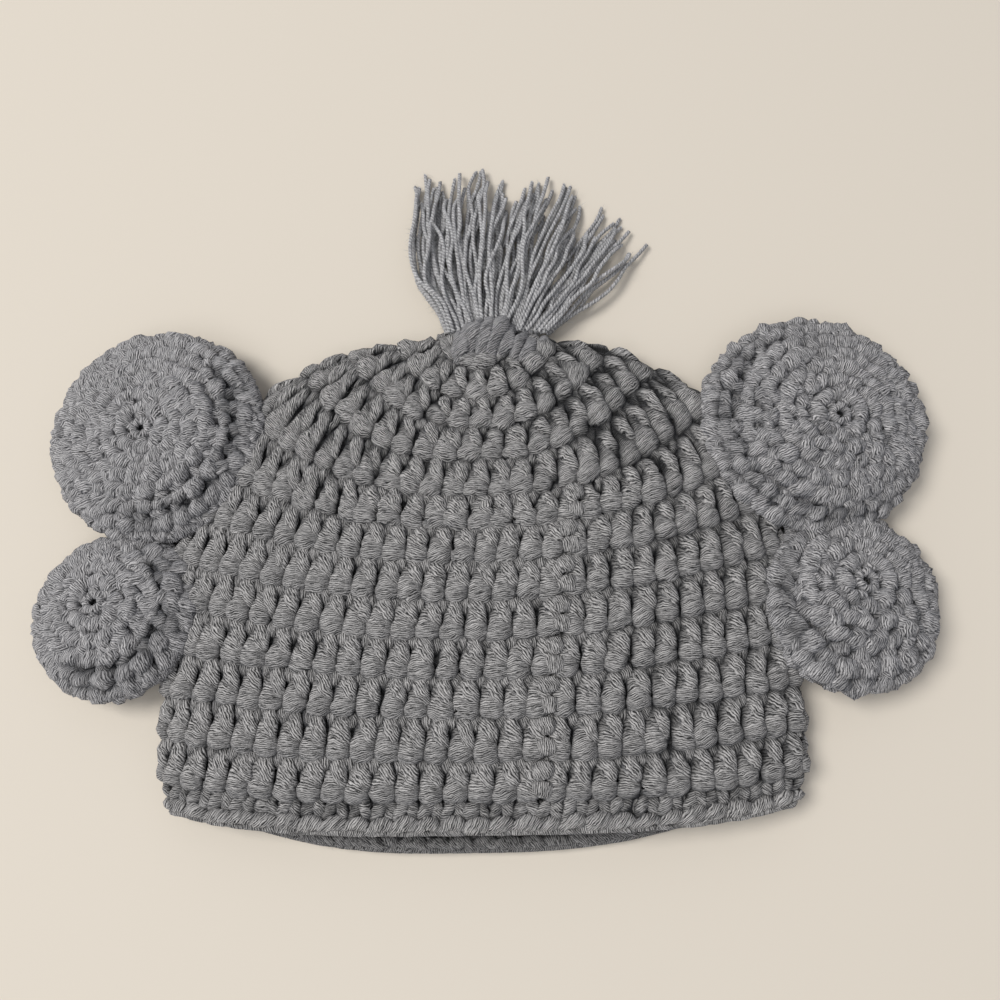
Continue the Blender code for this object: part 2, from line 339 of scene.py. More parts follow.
# How many plies the lines wander and slip, and how fast the fibres change across the plies.
WANDER_PLIES = 1.7
SLIP_PLIES = 1.5
FIBRES_ACROSS = 1.7
# What fibres and plies give to the relief, and what fibres and down give to the shading with
# the plies as one; the range of that sum from the shade to the light of the yarn.
FIBRE_RELIEF, PLY_RELIEF = 2.4, 0.8
FIBRE_SHADING, DOWN_SHADING = 4.2, 0.7
SHADE_SUM, LIGHT_SUM = 2.6, 3.6
# Painted shade: heights above the skin, in millimetres, between which the yarn's colour goes from dark to
# fully lit.
DARK_HEIGHT = -2.2
LIT_HEIGHT = 0.25
DARKEST_SHARE = 0.97
DARK_TINT = (0.006, 0.006, 0.006, 1)
yarn_plies = bpy.data.node_groups.new("yarn_plies", "ShaderNodeTree")
for socket, kind, value in (
    ("Shade", "NodeSocketColor", (0.10, 0.10, 0.105, 1)),
    ("Light", "NodeSocketColor", (0.25, 0.25, 0.255, 1)),
    ("Ply depth", "NodeSocketFloat", 0.5),
    ("Fuzz", "NodeSocketFloat", 0.3),
    ("Wander", "NodeSocketFloat", 1.0),
):
    made = yarn_plies.interface.new_socket(name=socket, in_out="INPUT", socket_type=kind)
    made.default_value = value
yarn_plies.interface.new_socket(name="Color", in_out="OUTPUT", socket_type="NodeSocketColor")
yarn_plies.interface.new_socket(name="Normal", in_out="OUTPUT", socket_type="NodeSocketVector")
yarn_plies.interface.new_socket(name="Roughness", in_out="OUTPUT", socket_type="NodeSocketFloat")


def wire(tree, kind, links=(), **settings):
    """A node with its settings, and its inputs linked or set."""
    node = tree.nodes.new(kind)
    for key, value in settings.items():
        setattr(node, key, value)
    for socket, source in links:
        if isinstance(source, bpy.types.NodeSocket):
            tree.links.new(source, node.inputs[socket])
        else:
            node.inputs[socket].default_value = source
    return node


def noise(tree, place, scale, detail, roughness=0.5):
    """A fine random grain, as values from 0 to 1."""
    settings = [("Vector", place), ("Scale", scale), ("Detail", detail), ("Roughness", roughness)]
    return wire(tree, "ShaderNodeTexNoise", settings).outputs["Fac"]


def blend_colours(tree, share, first, second):
    """The first colour going over into the second by a share."""
    return wire(tree, "ShaderNodeMix", [(0, share), (6, first), (7, second)], data_type="RGBA").outputs[2]


def reckon(operation, *values):
    """A sum worked out in the yarn's node group."""
    return wire(yarn_plies, "ShaderNodeMath", enumerate(values), operation=operation).outputs[0]


given = yarn_plies.nodes.new("NodeGroupInput")
ply_map = wire(yarn_plies, "ShaderNodeUVMap", uv_map="plies")
ply_axes = wire(yarn_plies, "ShaderNodeSeparateXYZ", [(0, ply_map.outputs["UV"])])
ply_count = ply_axes.outputs["X"]
ply_around = ply_axes.outputs["Y"]
place = yarn_plies.nodes.new("ShaderNodeTexCoord").outputs["Object"]
wander = noise(yarn_plies, place, WANDER_SCALE, 1.0)
wander = reckon("MULTIPLY", reckon("SUBTRACT", wander, 0.5), given.outputs["Wander"])
wandered = reckon("MULTIPLY_ADD", wander, WANDER_PLIES, ply_count)
across_plies = reckon("MULTIPLY", wandered, FIBRES_ACROSS)
ply_spot = wire(
    yarn_plies, "ShaderNodeCombineXYZ",
    [("X", across_plies), ("Y", across_plies), ("Z", ply_around)],
).outputs["Vector"]
fibre_spot = wire(
    yarn_plies, "ShaderNodeVectorMath",
    [(0, place), (1, (FIBRE_SCALE, FIBRE_SCALE, FIBRE_SCALE)), (2, ply_spot)],
    operation="MULTIPLY_ADD",
).outputs["Vector"]
fibres = noise(yarn_plies, fibre_spot, 1.0, 3.0, 0.7)
slip = reckon("MULTIPLY", reckon("SUBTRACT", fibres, 0.5), given.outputs["Wander"])
slipped = reckon("MULTIPLY_ADD", slip, SLIP_PLIES, wandered)
ridge = reckon("ABSOLUTE", reckon("SINE", reckon("MULTIPLY", slipped, math.pi)))
down = noise(yarn_plies, place, DOWN_SCALE, 2.0, 0.7)
relief = reckon("MULTIPLY_ADD", fibres, FIBRE_RELIEF, reckon("MULTIPLY", ridge, PLY_RELIEF))
relief = reckon("MULTIPLY_ADD", down, given.outputs["Fuzz"], relief)
# The shading is the fibres' and the down's own random tone, with painted shade in the grooves between plies.
shading = reckon("MULTIPLY_ADD", fibres, FIBRE_SHADING, ridge)
shading = reckon("MULTIPLY_ADD", down, DOWN_SHADING, shading)
shading = wire(
    yarn_plies, "ShaderNodeMapRange",
    [("Value", shading), ("From Min", SHADE_SUM), ("From Max", LIGHT_SUM)],
).outputs["Result"]
tint = blend_colours(yarn_plies, shading, given.outputs["Shade"], given.outputs["Light"])
# Painted shade: yarn that lies deep between its neighbours is darkened in its colour by its height, for the
# little light that gets to it through the fuzz.
height = wire(yarn_plies, "ShaderNodeAttribute", attribute_name="height").outputs["Fac"]
painted_depth_shade = wire(
    yarn_plies, "ShaderNodeMapRange",
    [("Value", height), ("From Min", DARK_HEIGHT), ("From Max", LIT_HEIGHT),
     ("To Min", DARKEST_SHARE), ("To Max", 0.0)],
    interpolation_type="SMOOTHSTEP",
).outputs["Result"]
tint = blend_colours(yarn_plies, painted_depth_shade, tint, DARK_TINT)
raised = wire(
    yarn_plies, "ShaderNodeBump",
    [("Height", relief), ("Distance", RELIEF_REACH), ("Strength", given.outputs["Ply depth"])],
).outputs["Normal"]
rough = reckon("MULTIPLY_ADD", shading, -0.12, 0.93)
taken = yarn_plies.nodes.new("NodeGroupOutput")
yarn_plies.links.new(tint, taken.inputs["Color"])
yarn_plies.links.new(raised, taken.inputs["Normal"])
yarn_plies.links.new(rough, taken.inputs["Roughness"])


def yarn_paint(name, shade, light, ply_depth, fuzz, sheen, wander):
    """A finish of spun yarn with its own greys, ply depth, fuzz and wandering of the plies."""
    paint = bpy.data.materials.new(name)
    paint.use_nodes = True
    tree = paint.node_tree
    coat = tree.nodes["Principled BSDF"]
    plies = tree.nodes.new("ShaderNodeGroup")
    plies.node_tree = yarn_plies
    plies.inputs["Shade"].default_value = (*shade, 1)
    plies.inputs["Light"].default_value = (*light, 1)
    plies.inputs["Ply depth"].default_value = ply_depth
    plies.inputs["Fuzz"].default_value = fuzz
    plies.inputs["Wander"].default_value = wander
    tree.links.new(plies.outputs["Color"], coat.inputs["Base Color"])
    tree.links.new(plies.outputs["Normal"], coat.inputs["Normal"])
    tree.links.new(plies.outputs["Roughness"], coat.inputs["Roughness"])
    coat.inputs["Specular IOR Level"].default_value = 0.25
    coat.inputs["Sheen Weight"].default_value = sheen
    coat.inputs["Sheen Roughness"].default_value = 0.5
    coat.inputs["Sheen Tint"].default_value = (0.9, 0.92, 1.0, 1)
    return paint


BODY_SHADE = (0.018, 0.0175, 0.017)
BODY_LIGHT = (0.565, 0.548, 0.537)
crown_paint = yarn_paint(
    "crown_yarn", BODY_SHADE, BODY_LIGHT, ply_depth=0.8, fuzz=0.35, sheen=0.12, wander=1.0,
)

# Fine fibres that stand off the yarn: curved tapering strips that start on the strands. Each
# has three pairs of points and a tip.
FIBRE_POINTS = 7
FIBRE_HALF_WIDTHS = (0.00004, 0.000045, 0.00003, 0.0)
FIBRE_DEEPEST = -1.2
FIBRE_LOWEST = 0.00003
FIBRE_SPOTS_SCALE = 380.0
FIBRE_SHADE = (0.20, 0.20, 0.205, 1)
FIBRE_LIGHT = (0.60, 0.59, 0.58, 1)
fuzz_paint = bpy.data.materials.new("fuzz_fibres")
fuzz_paint.use_nodes = True
fuzz_tree = fuzz_paint.node_tree
fuzz_coat = fuzz_tree.nodes["Principled BSDF"]
fuzz_place = fuzz_tree.nodes.new("ShaderNodeTexCoord").outputs["Object"]
fuzz_spots = noise(fuzz_tree, fuzz_place, FIBRE_SPOTS_SCALE, 2.0)
fuzz_tint = blend_colours(fuzz_tree, fuzz_spots, FIBRE_SHADE, FIBRE_LIGHT)
fuzz_tree.links.new(fuzz_tint, fuzz_coat.inputs["Base Color"])
fuzz_coat.inputs["Roughness"].default_value = 0.8
fuzz_coat.inputs["Specular IOR Level"].default_value = 0.3


def grow_fuzz(name, yarn, count, reach, seed):
    """So many fibres on a piece of yarn, of lengths up to reach."""
    mesh = yarn.data
    rng = np.random.default_rng(seed)
    points = np.zeros(len(mesh.vertices) * 3, np.float32)
    mesh.vertices.foreach_get("co", points)
    points = points.reshape(-1, 3).astype(float)
    corners = np.zeros(len(mesh.loops), np.int32)
    mesh.loops.foreach_get("vertex_index", corners)
    corners = corners.reshape(-1, 4)
    normals = np.zeros(len(mesh.polygons) * 3, np.float32)
    mesh.polygons.foreach_get("normal", normals)
    normals = normals.reshape(-1, 3).astype(float)
    heights = np.zeros(len(mesh.vertices), np.float32)
    mesh.attributes["height"].data.foreach_get("value", heights)
    near_skin = heights[corners[:, 0]] > FIBRE_DEEPEST
    faces = rng.choice(np.nonzero(near_skin)[0], count)
    start = points[corners[faces]].mean(axis=1)
    outward = normals[faces]
    side = unit(np.cross(outward, rng.normal(0, 1, (count, 3))))
    forward = np.cross(side, outward)
    length = reach * rng.uniform(0.4, 1.0, count) ** 1.5
    curl = rng.normal(0, 0.5, (count, 1))
    rise = rng.uniform(0.1, 0.9, (count, 1))
    line = [start]
    for step in range(3):
        heading = unit(forward + outward * (rise - 0.25 * step) + side * curl * step)
        line.append(line[-1] + heading * (length / 3)[:, None])
    strips = []
    for spot, half_width in zip(line, FIBRE_HALF_WIDTHS):
        strips += [spot - side * half_width, spot + side * half_width]
    strips = np.stack(strips[:FIBRE_POINTS], axis=1)
    strips[..., 2] = np.maximum(strips[..., 2], FIBRE_LOWEST)
    base = FIBRE_POINTS * np.arange(count)[:, None]
    quads = np.concatenate([base + [0, 1, 3, 2], base + [2, 3, 5, 4]])
    tips = base + [4, 5, 6]
    fuzz_mesh = bpy.data.meshes.new(name)
    fuzz_mesh.vertices.add(FIBRE_POINTS * count)
    fuzz_mesh.vertices.foreach_set("co", strips.astype(np.float32).ravel())
    fuzz_mesh.loops.add(quads.size + tips.size)
    corners = np.concatenate([quads.ravel(), tips.ravel()])
    fuzz_mesh.loops.foreach_set("vertex_index", corners.astype(np.int32))
    fuzz_mesh.polygons.add(3 * count)
    starts = np.concatenate([4 * np.arange(2 * count), quads.size + 3 * np.arange(count)])
    fuzz_mesh.polygons.foreach_set("loop_start", starts.astype(np.int32))
    fuzz_mesh.update(calc_edges=True)
    fuzz_mesh.validate()
    fuzz_mesh.materials.append(fuzz_paint)
    return put_in_scene(name, fuzz_mesh)


# A tall stitch, in shares of its pitch and of its round's height, with heights above the
# skin and radii in millimetres for a pitch of 6.6 mm: the post with its full lower bulb,
# the wrap that comes down over its right side, and the loop that shows in the notch between
# two stitches at the top of the round.
POST_KNOTS = (
    (0.47, -0.06, -3.2, 2.7, 1.2),
    (0.46, 0.05, -1.6, 3.4, 2.0),
    (0.45, 0.20, -0.9, 3.6, 2.4),
    (0.40, 0.40, -1.4, 3.0, 2.0),
    (0.34, 0.62, -2.0, 2.4, 1.7),
    (0.31, 0.84, -2.5, 2.1, 1.5),
    (0.31, 1.06, -3.4, 2.0, 1.2),
)
WRAP_KNOTS = (
    (0.32, 1.08, -3.3, 1.9, 1.1),
    (0.42, 0.93, -2.1, 2.35, 1.5),
    (0.56, 0.76, -0.9, 2.3, 1.8),
    (0.67, 0.57, -0.6, 2.0, 1.8),
    (0.74, 0.40, -1.1, 1.7, 1.5),
    (0.82, 0.24, -2.6, 1.3, 1.1),
)
LOOP_KNOTS = (
    (1.02, 1.10, -3.2, 2.0, 1.1),
    (1.02, 0.98, -2.0, 2.0, 1.4),
    (1.00, 0.86, -1.6, 1.7, 1.3),
    (0.98, 0.75, -2.1, 1.2, 1.1),
    (0.97, 0.63, -3.4, 0.8, 0.8),
)
# How the ply lines run over a strand: heights in the round, the rise of the lines there and
# how much they arch over the strand, and whether they are counted up or along the round.
POST_LEAN = (
    (0.0, 0.18, 0.40, 0.75, 1.1), (0.15, 0.20, -0.10, -0.45, -0.7), (-0.13, -0.02, 0.13, 0.10, 0.0), "up",
)
WRAP_LEAN = ((0.3, 0.6, 1.0), (-0.7, -1.0, -1.5), (0.06, 0.05, 0.0), "up")
LOOP_LEAN = ((0.6, 1.2), (0.15, -0.10), (0.0, 0.0), "along")
# A strand is its knots, its ply lines, and the number of its rings and of its sides.
POST = (POST_KNOTS, POST_LEAN, 12, 11)
WRAP = (WRAP_KNOTS, WRAP_LEAN, 8, 8)
LOOP = (LOOP_KNOTS, LOOP_LEAN, 7, 8)
STITCH_PITCH = 6.6
STITCH_LEAN = 0.10
LOWEST_POINT = 0.00002
# How much one strand differs from the next: in its knots' places and radii, its place along
# the round, its depth, its girth, its surface, and the rise and the arch of its ply lines.
KNOTS_VARY = np.array([0.03, 0.02, 0.15, 0.12, 0.10])
PLACE_VARIES = 0.035
DEPTH_VARIES = 0.15
GIRTH_VARIES = 0.05
SURFACE_VARIES = 0.12
LINES_VARY = 0.22
ARCH_SHARES = (0.4, 1.5)


def lay_strands(
    heap, rng, skin, strand, first, count, bottom, top, unevenness,
    drift=0.0, deepest=-9.0, laid=None, upright=0.0, sink=0.0, shaded=None,
):
    """The same strand for every stitch of a round, each a little different, laid on a skin from one position
    to another. Of a round of count stitches only the first few are laid when laid is given. Each stitch
    stands square on its round but for drift, and upright turns it from there towards the table's y. Sink
    sets the strand deeper, in millimetres. Its yarn's painted shade is no darker than that of the depth
    deepest, and shaded tells how many more millimetres of depth the painted shade takes at a place."""
    knots, lean, length, sides = strand
    number = np.arange(laid or count)
    full_round = count
    count = len(number)
    middle = np.full(count, (bottom + top) / 2)
    flush = np.zeros(count)
    left = skin(middle, (number + first) / full_round, flush)
    right = skin(middle, (number + first + 1) / full_round, flush)
    low = skin(np.full(count, bottom), (number + first + 0.5) / full_round, flush)
    high = skin(np.full(count, top), (number + first + 0.5) / full_round, flush)
    beside = right - left
    climb = high - low
    square = -np.sum(climb * beside, axis=1) / np.sum(beside ** 2, axis=1)
    square -= upright * (climb[:, 0] + square * beside[:, 0]) * beside[:, 0] / np.sum(beside ** 2, axis=1)
    square = np.clip(square, -1.5, 1.5)[:, None]
    pitch = np.linalg.norm(beside, axis=1) * 1000
    height = np.linalg.norm(climb + square * beside, axis=1) * 1000
    path = np.repeat(np.asarray(knots, float)[None], count, axis=0)
    path += rng.normal(0, 1, path.shape) * KNOTS_VARY * unevenness
    path[..., 0] += rng.normal(0, PLACE_VARIES, (count, 1)) * unevenness
    path[..., 2] += rng.normal(0, DEPTH_VARIES, (count, 1)) * unevenness - sink
    path[..., 3] *= 1 + rng.normal(0, GIRTH_VARIES, (count, 1)) * unevenness
    path = strand_path(path, length)
    path[..., 0] *= pitch[:, None]
    path[..., 1] *= height[:, None]
    path[..., 3] *= (pitch / STITCH_PITCH)[:, None]
    rings = strand_skin(path, sides)
    rings += rng.normal(0, SURFACE_VARIES, rings.shape) * unevenness
    across = rings[..., 0] / pitch[:, None, None]
    up = rings[..., 1] / height[:, None, None]
    ups, slopes, arches, counted = lean
    slope = np.interp(up, ups, slopes) + rng.normal(0, LINES_VARY, (count, 1, 1)) * unevenness
    arch = np.interp(up, ups, arches) * rng.uniform(*ARCH_SHARES, (count, 1, 1))
    aside = rings[..., 0] - path[..., None, 0]
    if counted == "up":
        plies = rings[..., 1] - slope * aside + arch * aside ** 2
    else:
        plies = rings[..., 0] - slope * rings[..., 1]
    plies = plies / np.sqrt(1 + slope ** 2)
    plies = plies / (PLY_PITCH * 1000) + rng.uniform(0, 50, (count, 1, 1))
    plies = np.concatenate([plies, plies[..., :1]], axis=-1)
    spots = bottom + (top - bottom) * up
    ways = (number[:, None, None] + first + across + (drift + square[..., None]) * (up - 0.5)) / full_round
    places = skin(spots, ways, rings[..., 2] / 1000)
    places[..., 2] = np.maximum(places[..., 2], LOWEST_POINT)
    # Heights for the painted shade of yarn that lies deep.
    heights = np.maximum(rings[..., 2], deepest)
    if shaded:
        heights = heights - shaded(spots, ways)
    heap.add(places, plies, rng.integers(0, 1000, count).astype(float), heights)


# Where each round was joined, a column of two small knots to a round climbs the front a
# little to the right of the middle: round, and share of the way round.
SEAM_SHARES = {
    1: 0.2925, 2: 0.2970, 3: 0.2992, 4: 0.3049, 5: 0.3105, 6: 0.3162, 7: 0.3218, 8: 0.3308,
}
SEAM_LOW_KNOTS = (
    (0.12, 0.22, -2.0, 1.3, 0.9),
    (0.28, 0.25, 0.1, 2.2, 1.6),
    (0.50, 0.26, 0.9, 2.5, 1.8),
    (0.72, 0.25, 0.1, 2.2, 1.6),
    (0.90, 0.22, -2.0, 1.3, 0.9),
)
SEAM_HIGH_KNOTS = (
    (0.18, 0.68, -2.0, 1.4, 0.9),
    (0.34, 0.73, 0.0, 2.3, 1.6),
    (0.56, 0.76, 0.8, 2.6, 1.8),
    (0.78, 0.73, 0.0, 2.2, 1.6),
    (0.95, 0.66, -2.0, 1.3, 0.9),
)
SEAM_LEAN = ((0.0, 1.0), (0.2, -0.2), (0.0, 0.0), "along")
SEAM_UNEVENNESS = 0.8
# The first stitch of a round starts a little further on than the one below.
FIRST_STITCH = 0.30
COLUMN_DRIFT = 0.22
# From one round up the stitches are less even and stand more upright, and from the next one
# up they also sit deeper.
LOOSE_ROUND = 8
LOW_UNEVENNESS, LOOSE_UNEVENNESS = 1.0, 1.5
LOW_UPRIGHT, LOOSE_UPRIGHT = 0.3, 0.6
DEEP_ROUND = 9
DEEP_SINK = 0.45
# Painted shade: towards the right side fold the yarn's colour is made a little darker, for the side that the
# light falls away from: by how many millimetres of added depth, and over which shares of the way round to
# either side of the fold.
FOLD_SHADE_DEPTH = 0.6
FOLD_REACH = 0.2
FOLD_RAMP = 0.08
BODY_FIBRES = 3500
BODY_FIBRE_LENGTH = 0.0026


def fold_painted_shade(position, share):
    """Painted shade: the extra depth, in millimetres, that darkens the colour of the yarn near the right
    side fold.
    """
    from_fold = np.abs(share % 1 - 0.5)
    return FOLD_SHADE_DEPTH * np.clip((FOLD_REACH - from_fold) / FOLD_RAMP, 0, 1)


for group_name, start_round, end_round in (
    ("crown_low_rounds", 1, 5),
    ("crown_middle_rounds", 5, 9),
    ("crown_top_rounds", 9, 14),
):
    heap = YarnHeap()
    for number in range(start_round, end_round):
        rng = np.random.default_rng(100 + number)
        count = STITCHES_PER_ROUND[number]
        loose = number >= LOOSE_ROUND
        for strand in (LOOP, POST, WRAP):
            lay_strands(
                heap, rng, on_hat, strand, FIRST_STITCH + COLUMN_DRIFT * number, count, number, number + 1,
                LOOSE_UNEVENNESS if loose else LOW_UNEVENNESS, drift=STITCH_LEAN,
                upright=LOOSE_UPRIGHT if loose else LOW_UPRIGHT,
                sink=DEEP_SINK if number >= DEEP_ROUND else 0.0, shaded=fold_painted_shade,
            )
        if number in SEAM_SHARES:
            for knots in (SEAM_LOW_KNOTS, SEAM_HIGH_KNOTS):
                lay_strands(
                    heap, rng, on_hat, (knots, SEAM_LEAN, 9, 9), SEAM_SHARES[number] * count - 0.5, count,
                    number, number + 1, SEAM_UNEVENNESS, laid=1,
                )
    stitches = heap.mesh(group_name)
    stitches.data.materials.append(crown_paint)
    fuzz = grow_fuzz(group_name + "_fuzz", stitches, BODY_FIBRES, BODY_FIBRE_LENGTH, 300 + start_round)
    for piece in (stitches, fuzz):
        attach(piece, "root")
        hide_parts("crown")

# The bulk of the knit behind the stitches, which closes the gaps between posts, and its inner
# face, where the rounds show as soft ribs. They meet at the turn near the rim; tops are in
# rounds and heights are from the skin.
INNER_AROUND = 120
INNER_TURN = 1.0
BULK_TOP, BULK_RINGS = LAST_ROUND + 0.9, 40
FACE_TOP, FACE_RINGS = 12.0, 56
BULK_HEIGHT = -0.0027
# Painted shade: how deep the yarn of the bulk and the inner face looks, in millimetres.
BULK_DEPTH_SEEN = -1.7
RIB_HEIGHT = 0.0007
FACE_HEIGHT = -KNIT_THICKNESS + 0.0004


def level_ring(skin, position, out, around):
    """An even ring of points at one position of a skin, raised from it by out."""
    return skin(np.full(around, position), np.arange(around) / around, np.full(around, out))


def sleeve(name, rings, depth, paint, joined=False):
    """A closed mesh through rings of equal count, its ends capped or else joined to each other. Its yarn
    gets the painted shade of yarn at one depth under the stitches, given in millimetres."""
    rings = np.asarray(rings)
    rows, around = rings.shape[:2]
    index = np.arange(rows * around).reshape(rows, around)
    following = np.roll(index, -1, axis=0)
    quads = [index, following, np.roll(following, -1, axis=1), np.roll(index, -1, axis=1)]
    quads = np.stack(quads, axis=-1)
    if joined:
        faces = quads.reshape(-1, 4).tolist()
    else:
        faces = quads[:-1].reshape(-1, 4).tolist() + [index[0].tolist(), index[-1][::-1].tolist()]
    mesh = bpy.data.meshes.new(name)
    mesh.from_pydata(rings.reshape(-1, 3).tolist(), [], faces)
    mesh.uv_layers.new(name="plies")
    mesh.attributes.new("height", "FLOAT", "POINT")
    mesh.attributes["height"].data.foreach_set("value", np.full(rows * around, depth))
    mesh.shade_smooth()
    mesh.materials.append(paint)
    return put_in_scene(name, mesh)


inner_rings = []
for position in np.linspace(BULK_TOP, INNER_TURN, BULK_RINGS):
    inner_rings.append(level_ring(on_hat, position, BULK_HEIGHT, INNER_AROUND))
for position in np.linspace(INNER_TURN, FACE_TOP, FACE_RINGS):
    rib = RIB_HEIGHT * abs(math.sin(math.pi * position))
    inner_rings.append(level_ring(on_hat, position, FACE_HEIGHT - rib, INNER_AROUND))
crown_inner_face = sleeve("crown_inner_face", inner_rings, BULK_DEPTH_SEEN, crown_paint)
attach(crown_inner_face, "root")
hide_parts("crown")

# Rim edging.
# One round of short stitches in the same yarn, worked along the mouth after the crown; its
# top loops lie along the very edge as a chain and keep the rim from curling.
edging_paint = yarn_paint(
    "edging_yarn", BODY_SHADE, BODY_LIGHT, ply_depth=0.8, fuzz=0.4, sheen=0.12, wander=1.0,
)
SHORT_KNOTS = (
    (0.35, 1.10, -3.3, 1.5, 1.0),
    (0.40, 0.94, -2.2, 1.9, 1.3),
    (0.30, 0.78, -1.6, 2.0, 1.5),
    (0.16, 0.62, -1.8, 1.9, 1.4),
    (0.06, 0.46, -2.8, 1.5, 1.1),
)
SHORT_SIDE_KNOTS = (
    (0.55, 1.10, -3.4, 1.5, 1.0),
    (0.62, 0.94, -2.3, 1.8, 1.3),
    (0.72, 0.78, -1.8, 1.9, 1.5),
    (0.80, 0.62, -2.0, 1.8, 1.4),
    (0.86, 0.46, -2.9, 1.5, 1.1),
)
CHAIN_UPPER_KNOTS = (
    (-0.26, 0.14, -3.2, 1.1, 0.9),
    (0.02, 0.25, -1.7, 1.7, 1.4),
    (0.42, 0.40, -0.7, 2.2, 1.9),
    (0.82, 0.38, -1.1, 2.0, 1.6),
    (1.20, 0.22, -2.8, 1.0, 0.9),
)
CHAIN_LOWER_KNOTS = (
    (-0.30, 0.26, -3.2, 1.2, 1.2),
    (0.05, 0.16, -2.2, 2.0, 1.7),
    (0.50, 0.08, -2.0, 2.1, 1.8),
    (0.95, 0.10, -2.1, 2.0, 1.7),
    (1.35, 0.22, -3.0, 1.1, 1.2),
)
CHAIN_BACK_KNOTS = (
    (-0.20, 0.26, -3.2, 0.9, 0.8),
    (0.12, 0.30, -3.6, 1.8, 1.1),
    (0.45, 0.36, -3.7, 2.0, 1.1),
    (0.85, 0.32, -3.6, 1.9, 1.1),
    (1.25, 0.26, -3.2, 1.1, 0.9),
)
SHORT_LEAN = ((0.4, 1.0), (0.9, 0.5), (0.0, 0.0), "up")
SHORT_SIDE_LEAN = ((0.4, 1.0), (-0.9, -0.5), (0.0, 0.0), "up")
CHAIN_UPPER_LEAN = ((0.1, 0.5), (0.75, 0.75), (0.0, 0.0), "along")
CHAIN_LOWER_LEAN = ((0.0, 0.4), (-0.35, -0.35), (0.0, 0.0), "along")
RIM_UNEVENNESS = 1.3
CHAIN_DEEPEST = -0.8
SHORT_DEEPEST = -9.0
RIM_FIBRES = 2000
heap = YarnHeap()
rng = np.random.default_rng(61)
for strand, deepest in (
    ((SHORT_KNOTS, SHORT_LEAN, 9, 8), SHORT_DEEPEST),
    ((SHORT_SIDE_KNOTS, SHORT_SIDE_LEAN, 9, 8), SHORT_DEEPEST),
    ((CHAIN_UPPER_KNOTS, CHAIN_UPPER_LEAN, 9, 9), CHAIN_DEEPEST),
    ((CHAIN_LOWER_KNOTS, CHAIN_LOWER_LEAN, 9, 9), CHAIN_DEEPEST),
    ((CHAIN_BACK_KNOTS, CHAIN_UPPER_LEAN, 9, 8), CHAIN_DEEPEST),
):
    lay_strands(
        heap, rng, on_hat, strand, FIRST_STITCH, STITCHES_PER_ROUND[0], 0.0, 1.0, RIM_UNEVENNESS,
        drift=COLUMN_DRIFT, deepest=deepest,
    )
rim_stitches = heap.mesh("rim_stitches")
rim_stitches.data.materials.append(edging_paint)
rim_fuzz = grow_fuzz("rim_fuzz", rim_stitches, RIM_FIBRES, BODY_FIBRE_LENGTH, 360)
for piece in (rim_stitches, rim_fuzz):
    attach(piece, "root")
    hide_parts("rim_edging")

# The bulk of the edging inside its stitches, as positions in rounds and heights from the skin.
RIM_CORE = ((1.0, -0.0027), (0.6, -0.0023), (0.3, -0.0021), (0.2, -0.0024), (0.3, -0.0030), (1.0, -0.0038))
# Painted shade: how deep the edging's bulk looks, in millimetres.
RIM_CORE_DEPTH_SEEN = -0.9
core_rings = [level_ring(on_hat, position, out, INNER_AROUND) for position, out in RIM_CORE]
rim_core = sleeve("rim_core", core_rings, RIM_CORE_DEPTH_SEEN, edging_paint, joined=True)
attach(rim_core, "root")
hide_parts("rim_edging")

# Ears.
# Four stuffed discs, two to a side, worked in rounds from a small hole in the middle of each
# face in the same yarn; the larger pair is sewn to the shoulders and the smaller pair tucks
# in under it. Each round is a ring of slanting loops with short posts down to the next.
EAR_SHADE = (0.038, 0.037, 0.038)
EAR_LIGHT = (0.63, 0.612, 0.613)
ear_paint = yarn_paint(
    "ear_yarn", EAR_SHADE, EAR_LIGHT, ply_depth=0.8, fuzz=1.2, sheen=0.25, wander=1.0,
)
# An ear's form: how square its side is, where its face ends, how deep its middle is, and the
# share of its thickness over which its side is soft.
EAR_SQUARENESS = 2.7
EAR_FACE_SHARE = 0.97
EAR_DIMPLE = 0.0020
EAR_SOFT_SIDE = 0.3
# Its rounds and stitches, and the hole that the first round leaves, as a share of that round.
EAR_RING = 0.0045
EAR_PITCH = 0.0056
EAR_GROOVE = 0.0005
EAR_HOLE = 0.12
FEWEST_STITCHES = 6
# Furrows and what lies beyond them: how wide and how wavy a furrow is, how soon the skin beyond it has
# fallen away and how far it bulges out, and how much more the stitches stand out there and how many
# millimetres of painted shade darken their colour there. The right pair has some of that relief and painted
# shade all over.
FURROW_HALF_WIDTH = 0.0014
FURROW_WAVE = 0.0006
FALL_RUN = 0.008
FALL_BULGE = 0.5
WALL_RUN = 0.002
WALL_RELIEF = 0.7
WALL_SHADE_DEPTH = 1.4
RIGHT_PAIR_RELIEF_AND_SHADE = 0.55
EAR_STEPS_UP = 12
EAR_AROUND = 360
EAR_UNEVENNESS, HOLE_UNEVENNESS = 1.7, 0.8
EAR_DEEPEST, HOLE_DEEPEST = -1.6, -0.9
# The stuffed body under the stitches: its rings, in the hole and then from the first round to
# the middle underneath, and its heights from the ear's skin, in the hole and elsewhere.
BODY_AROUND = 60
HOLE_RINGS = (0.08, 0.18)
BODY_START, BODY_END_GAP, BODY_RINGS = 0.6, 0.35, 34
HOLE_HEIGHT, BODY_HEIGHT = -0.0024, -0.0009
BODY_LOWEST = 0.0004
